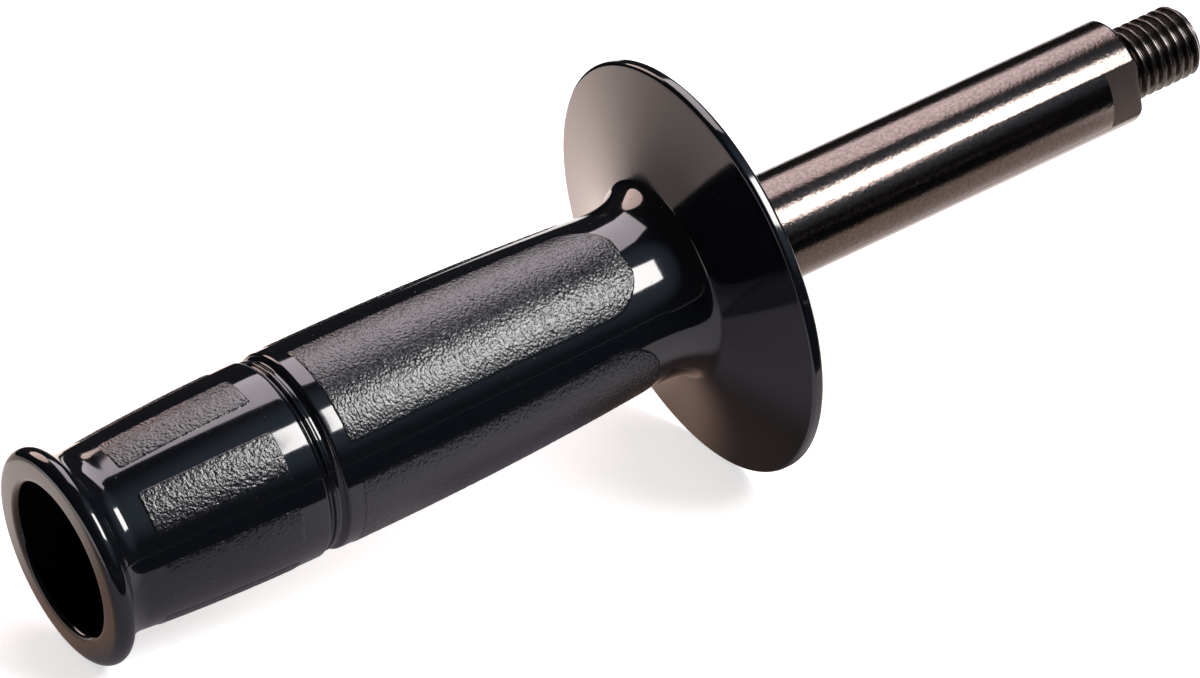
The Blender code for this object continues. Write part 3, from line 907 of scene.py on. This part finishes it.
# %% Roll the stud's thread and the tail's
THREAD_BURIED = 1.0 * MM
FLAT_EDGE = 1e-7
stud_sizes = {"Rows": 200, "Columns": 121, "Start": -THREAD_BURIED, "End": STUD_LENGTH,
              "Radius": 7.0 * MM, "Depth": 1.15 * MM, "Pitch": 2.0 * MM,
              "End Chamfer": 1.25 * MM, "Neck Radius": 5.75 * MM,
              "Neck Length": THREAD_BURIED + 0.9 * MM, "Material": thread_finish}
tail_sizes = {**stud_sizes, "Rows": 170, "Columns": 97, "Start": TAIL_END,
              "End": WEB_FACE - 1.0 * MM, "Radius": TAIL_RADIUS, "Depth": 1.0 * MM,
              "Pitch": 1.75 * MM, "End Chamfer": 0.0, "Neck Radius": 4.9 * MM, "Neck Length": 0.0}
stud_thread = run_group("stud_thread", thread_tree, stud_sizes)
tail_thread = run_group("tail_thread", thread_tree, tail_sizes)


def face_out(item):
    """Drops a thread's flat slivers and makes its faces point outwards."""
    bm = bmesh.new()
    bm.from_mesh(item.data)
    bmesh.ops.dissolve_degenerate(bm, dist=FLAT_EDGE, edges=bm.edges)
    outwards(bm)
    open_edges = sum(edge.is_boundary for edge in bm.edges)
    bm.to_mesh(item.data)
    bm.free()
    print(f"{item.name}: {open_edges} open edges")
    return item


for thread in (stud_thread, tail_thread):
    shade(face_out(thread), sharp=50)
    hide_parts("spindle")

# %% [markdown]
# ## Tail fasteners
# The washer, the split lock washer and the nut sit deep in the bore, where only the mouth
# shows them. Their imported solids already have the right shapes, chamfers included, so they
# stay and only get the zinc finish.

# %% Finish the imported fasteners
for node in ("tail_washer", "lock_washer", "tail_nut"):
    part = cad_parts[node]
    part.data.materials.clear()
    part.data.materials.append(zinc)
    print(node, "is zinc plated")

# %% [markdown]
# ## Table, lamps and room
# The handle lies on a white table on its rim and its guard's edge, so the table is a plane
# that leans a little against the handle's own axes. Black plastic shows whatever stands round
# it: two warm lamps overhead, a small bright softbox in front on the right, and a dark room.
# The room's walls and the cards that darken the table in front of the handle and behind it are
# out of the camera's sight, and the world behind them is white.

# %% Table
TABLE_NORMAL = Vector((0.153, -0.269, 0.9505)).normalized()
TABLE_DEPTH = -0.0542
TABLE_SIDE = 2.4
TABLE_WHITE = (0.8, 0.79, 0.78, 1.0)
SHADOW_REACH = (0.15, 0.50)
SHADOW_GLOW = 0.66
HANDLE_MIDDLE = Vector((-0.11, 0.0, 0.0))
handle_on_table = HANDLE_MIDDLE - TABLE_NORMAL * (TABLE_NORMAL.dot(HANDLE_MIDDLE) - TABLE_DEPTH)
along_table = (Vector((1.0, 0.0, 0.0)) - TABLE_NORMAL * TABLE_NORMAL.x).normalized()
front_of_table = along_table.cross(TABLE_NORMAL)


def panel(name, centre, along, up_way, length, width):
    """A flat rectangle whose face points along up_way."""
    side = up_way.cross(along)
    corners = [centre + along * (length / 2 * a) + side * (width / 2 * b)
               for a, b in ((-1, -1), (1, -1), (1, 1), (-1, 1))]
    mesh = bpy.data.meshes.new(name)
    mesh.from_pydata(corners, [], [(0, 1, 2, 3)])
    item = link(bpy.data.objects.new(name, mesh))
    return item


def bare_material(name):
    """A material that has no shader yet, and its graph."""
    material = bpy.data.materials.new(name)
    material.use_nodes = True
    graph = Graph(material.node_tree)
    graph.tree.nodes.remove(graph.tree.nodes["Principled BSDF"])
    return material, graph


def coat(shader):
    """Puts a shader on its material's surface."""
    shader.to(shader.graph.tree.nodes["Material Output"], "Surface")


def seen_rays(graph):
    """1 for rays that show a thing: from the camera, in a gloss, or through glass."""
    path = graph.add("ShaderNodeLightPath", output="Is Camera Ray")
    shown = graph.math("MAXIMUM", path, path.out("Is Glossy Ray"))
    return graph.math("MAXIMUM", shown, path.out("Is Transmission Ray"))


def table_material():
    """White, seen only from above. It shines by itself, less where the handle's shadow lies."""
    material, graph = bare_material("white table")
    paint = graph.add("ShaderNodeBsdfDiffuse", None, {"Color": TABLE_WHITE})
    spot = graph.add("ShaderNodeTexCoord", output="Object")
    away = graph.add("ShaderNodeVectorMath", {"operation": "DISTANCE"},
                     {0: spot, 1: tuple(handle_on_table)}, output="Value")
    glow = away.step(*SHADOW_REACH, SHADOW_GLOW, 1.0) * seen_rays(graph)
    shine = graph.add("ShaderNodeEmission", None, {"Strength": glow})
    both = graph.add("ShaderNodeAddShader", None, {0: paint, 1: shine})
    below = graph.add("ShaderNodeNewGeometry", output="Backfacing")
    clear = graph.add("ShaderNodeBsdfTransparent")
    coat(graph.add("ShaderNodeMixShader", None, {0: below, 1: both, 2: clear}))
    return material


table = panel("table", handle_on_table, along_table, TABLE_NORMAL, TABLE_SIDE, TABLE_SIDE)
table.data.materials.append(table_material())
print("the table's middle is at", [round(value, 4) for value in handle_on_table])

# %% Dark room
SOFTBOX_LEAN = 29.0
SOFTBOX_TURN = 146.0
ROOM_SIDE = 8.0
WALL = (0.022, 0.021, 0.022, 1.0)
WALL_GLOW = (0.22, 0.27, 0.36, 1.0)
GLOW_CONE = (0.74, 0.95)  # cosines of the angle from the softbox


def out_of_sight(item):
    """Hidden from the camera and casting no shadow, but still there for reflections."""
    item.visible_camera = False
    item.visible_shadow = False
    return item


def tilted(along, turn):
    """A direction that leans along X by one angle and turns from +Y towards +Z by another."""
    lean, turn = math.radians(along), math.radians(turn)
    across = math.cos(lean)
    return Vector((math.sin(lean), across * math.cos(turn), across * math.sin(turn)))


def wall_material():
    """Nearly black, with a faint blue glow round the softbox."""
    material, graph = bare_material("dark wall")
    way = graph.add("ShaderNodeVectorMath", {"operation": "NORMALIZE"},
                    {0: graph.add("ShaderNodeTexCoord", output="Object")})
    near = graph.add("ShaderNodeVectorMath", {"operation": "DOT_PRODUCT"},
                     {0: way, 1: tuple(softbox_way)}, output="Value")
    tone = fade(near, *GLOW_CONE, WALL, WALL_GLOW)
    coat(graph.add("ShaderNodeEmission", None, {"Color": tone}))
    return material


softbox_way = tilted(SOFTBOX_LEAN, SOFTBOX_TURN)
box = bmesh.new()
bmesh.ops.create_cube(box, size=ROOM_SIDE)
bmesh.ops.reverse_faces(box, faces=box.faces)
room = out_of_sight(made("room", box))
room.data.materials.append(wall_material())
print(f"a dark room of {ROOM_SIDE:.0f} m stands round the table")

# %% Cards in front and behind
CARD_BLACK = (0.012, 0.014, 0.018, 1.0)
CARD_HEIGHT = 0.5 * MM
FRONT_CARD_EDGE = 0.077
FRONT_CARD = (2.4, 1.0)
BACK_CARD_EDGE = -0.18
BACK_CARD = (2.6, 2.2)
BACK_SLANT = 0.40
BACK_END = (-0.004, 0.016)


def measured(spot, way, start):
    """Distance of a spot from start along a direction, in metres."""
    along = spot.graph.add("ShaderNodeVectorMath", {"operation": "DOT_PRODUCT"},
                           {0: spot, 1: tuple(way)}, output="Value")
    return along - start.dot(way)


def card_material(name, light):
    """Shines where it covers, and is clear elsewhere. light gives the colour and the cover."""
    material, graph = bare_material(name)
    spot = graph.add("ShaderNodeTexCoord", output="Object")
    front = measured(spot, front_of_table, handle_on_table)
    along = measured(spot, along_table, handle_on_table)
    colour, cover = light(front, along)
    glow = graph.add("ShaderNodeEmission", None, {"Color": colour})
    clear = graph.add("ShaderNodeBsdfTransparent")
    coat(graph.add("ShaderNodeMixShader", None, {0: cover, 1: clear, 2: glow}))
    return material


def table_card(name, front, size, height, light):
    """A card that lies on the table, its middle this far in front of the handle."""
    length, width = size
    middle = handle_on_table + front_of_table * front + TABLE_NORMAL * height
    card = out_of_sight(panel(name, middle, along_table, TABLE_NORMAL, length, width))
    card.visible_diffuse = False
    card.data.materials.append(card_material(name, light))


def front_light(front, along):
    """Black all over."""
    return CARD_BLACK, 1.0


def back_light(front, along):
    """Black behind the grip, and clear behind the spindle, from a slanted line on."""
    slanted = along + front * BACK_SLANT
    return CARD_BLACK, slanted.step(*BACK_END, 1.0, 0.0)


front_middle = FRONT_CARD_EDGE + FRONT_CARD[1] / 2
back_middle = BACK_CARD_EDGE - BACK_CARD[1] / 2
table_card("front_card", front_middle, FRONT_CARD, CARD_HEIGHT, front_light)
table_card("back_card", back_middle, BACK_CARD, CARD_HEIGHT, back_light)
print("two black cards lie in front of the handle and behind it")

# %% [markdown]
# Close to the handle the table lies in the handle's own shadow, and behind it the table is
# lit warm and bright. One more thin card, out of the camera's sight, glows with a painted
# shadow and painted light of the table, so that the gloss shows them while the camera still
# sees a white table. Its tones are blended one over the other, each from one distance to
# another along the handle or in front of it.

# %% Card under the handle
# Painted shadow and painted light of the table, which only reflections show; the brown is the
# painted edge of the shadow
UNDER_DARK = (0.16, 0.14, 0.15, 1.0)
UNDER_LIGHT = (0.44, 0.41, 0.47, 1.0)
MIDDLE_LIGHT = (0.72, 0.67, 0.72, 1.0)
HUB_DARK = (0.12, 0.085, 0.080, 1.0)
HUB_LIGHT = (0.27, 0.24, 0.29, 1.0)
SHADOW_EDGE_BROWN = (0.50, 0.33, 0.26, 1.0)
BEHIND_DIM = (0.62, 0.50, 0.47, 1.0)
BEHIND_LIT = (2.10, 1.72, 1.58, 1.0)
BEHIND_RIM = (1.45, 1.25, 1.16, 1.0)
ROD_UNDER = (0.92, 0.78, 0.74, 1.0)
ROD_BEHIND = (1.50, 1.35, 1.30, 1.0)
UNDER_CARD = (0.50, 0.327)
UNDER_CARD_MIDDLE = -0.0865
UNDER_CARD_HEIGHT = 0.3 * MM
BROWN_SLANT = 0.6
BROWN_SLANT_FROM = -0.020
RIM_SHIFT = -0.034


def behind_tone(front, along):
    """Painted light of the table behind the handle, dim at the rim's end and bright at the
    guard's.
    """
    tone = fade(along, -0.140, -0.008, BEHIND_DIM, BEHIND_LIT)
    near_rim = along.step(-0.125, -0.105, 1.0, 0.0) * front.step(-0.100, -0.070)
    return blend(near_rim, tone, BEHIND_RIM)


def under_tone(front, along):
    """Painted shadow of the handle on the table, darkest under the grip and under the hub."""
    light = fade(along, -0.080, -0.040, UNDER_LIGHT, MIDDLE_LIGHT)
    tone = fade(front, -0.020, 0.045, UNDER_DARK, light)
    hub = fade(along, -0.010, 0.008, HUB_LIGHT, HUB_DARK)
    near_hub = along.step(-0.045, -0.030) * front.step(0.018, 0.030, 1.0, 0.0)
    return blend(near_hub, tone, hub)


def under_light(front, along):
    """From back to front painted light, a brown painted shadow edge and painted shadow, a tone of
    its own under the rod.
    """
    shift = along.step(-0.125, -0.090, RIM_SHIFT, 0.0)
    slanted = front - front.graph.math("MAXIMUM", along, BROWN_SLANT_FROM) * BROWN_SLANT + shift
    tone = fade(slanted, -0.070, -0.028, behind_tone(front, along), SHADOW_EDGE_BROWN)
    tone = fade(slanted, -0.022, -0.004, tone, under_tone(front, along))
    rod_tone = fade(front, -0.030, 0.020, ROD_BEHIND, ROD_UNDER)
    tone = fade(along, 0.035, 0.055, tone, rod_tone)
    cover = front.step(-0.205, -0.168) * along.step(-0.24, -0.19)
    return tone, cover * along.step(0.16, 0.20, 1.0, 0.0)


table_card("under_card", UNDER_CARD_MIDDLE, UNDER_CARD, UNDER_CARD_HEIGHT, under_light)
print("a card lies under the handle")

# %% Lamps
LAMP_DISTANCE = 3.0


def soft_lamp(name, shape, way, twist, length, width, glow):
    """A lamp that faces the handle's middle, its length twisted away from the handle's axis.

    glow is the light that its face shows in a mirror, and its power follows from that.
    """
    long_side = (Vector((1.0, 0.0, 0.0)) - way * way.x).normalized()
    long_side.rotate(Matrix.Rotation(math.radians(twist), 3, way))
    data = bpy.data.lights.new(name, "AREA")
    data.shape = shape
    data.size = length
    data.size_y = width
    area = length * width * (math.pi / 4 if shape == "ELLIPSE" else 1.0)
    data.energy = math.pi * area * max(glow)
    data.color = [part / max(glow) for part in glow]
    lamp = link(bpy.data.objects.new(name, data))
    turn = Matrix((long_side, way.cross(long_side), way)).transposed().to_4x4()
    lamp.matrix_world = Matrix.Translation(HANDLE_MIDDLE + way * LAMP_DISTANCE) @ turn
    lamp.visible_camera = False
    print(f"{name}: {data.energy:.0f} W")


soft_lamp("overhead_card", "RECTANGLE", tilted(24.0, 76.5), twist=-12.0,
          length=1.45, width=2.30, glow=(4.2, 3.75, 4.0))
soft_lamp("overhead_round", "ELLIPSE", tilted(-2.3, 45.0), twist=50.0,
          length=1.60, width=1.75, glow=(4.7, 3.5, 3.2))
soft_lamp("front_softbox", "RECTANGLE", softbox_way, twist=0.0,
          length=1.13, width=1.34, glow=(16.0, 15.6, 15.3))

# %% World
SKY_LEVEL = 0.06
world = bpy.data.worlds.new("white surroundings")
world.use_nodes = True
bpy.context.scene.world = world
sky = Graph(world.node_tree)
strength = SKY_LEVEL + seen_rays(sky) * (1.0 - SKY_LEVEL)
background = sky.tree.nodes["Background"]
strength.to(background, "Strength")
background.inputs["Color"].default_value = (1.0, 1.0, 1.0, 1.0)
bpy.context.scene.view_settings.view_transform = "Standard"
print("the world is white where it is seen")

# %% [markdown]
# ## Camera
# A long lens about 1.3 m away looks down the handle from its rim end, rolled so that the
# handle runs up to the right.

# %% Camera
CAMERA_PLACE = (-0.65803, -1.14970, 0.41327)
CAMERA_TURN = (71.035, 15.795, -30.582)
CAMERA_LENS = 224.31
camera_data = bpy.data.cameras.new("camera")
camera_data.lens = CAMERA_LENS
camera_data.sensor_width = 36.0
camera_data.clip_end = 20.0
camera = link(bpy.data.objects.new("camera", camera_data))
camera.location = CAMERA_PLACE
camera.rotation_euler = Euler([math.radians(angle) for angle in CAMERA_TURN])
bpy.context.scene.camera = camera
print("camera at", CAMERA_PLACE)

# %% Put the pieces on the handle's body
for piece in (grip, main_pads, other_pads, end_pads, rod, stud_thread, tail_thread):
    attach(piece, "root")
    print(piece.name, "rides on root")
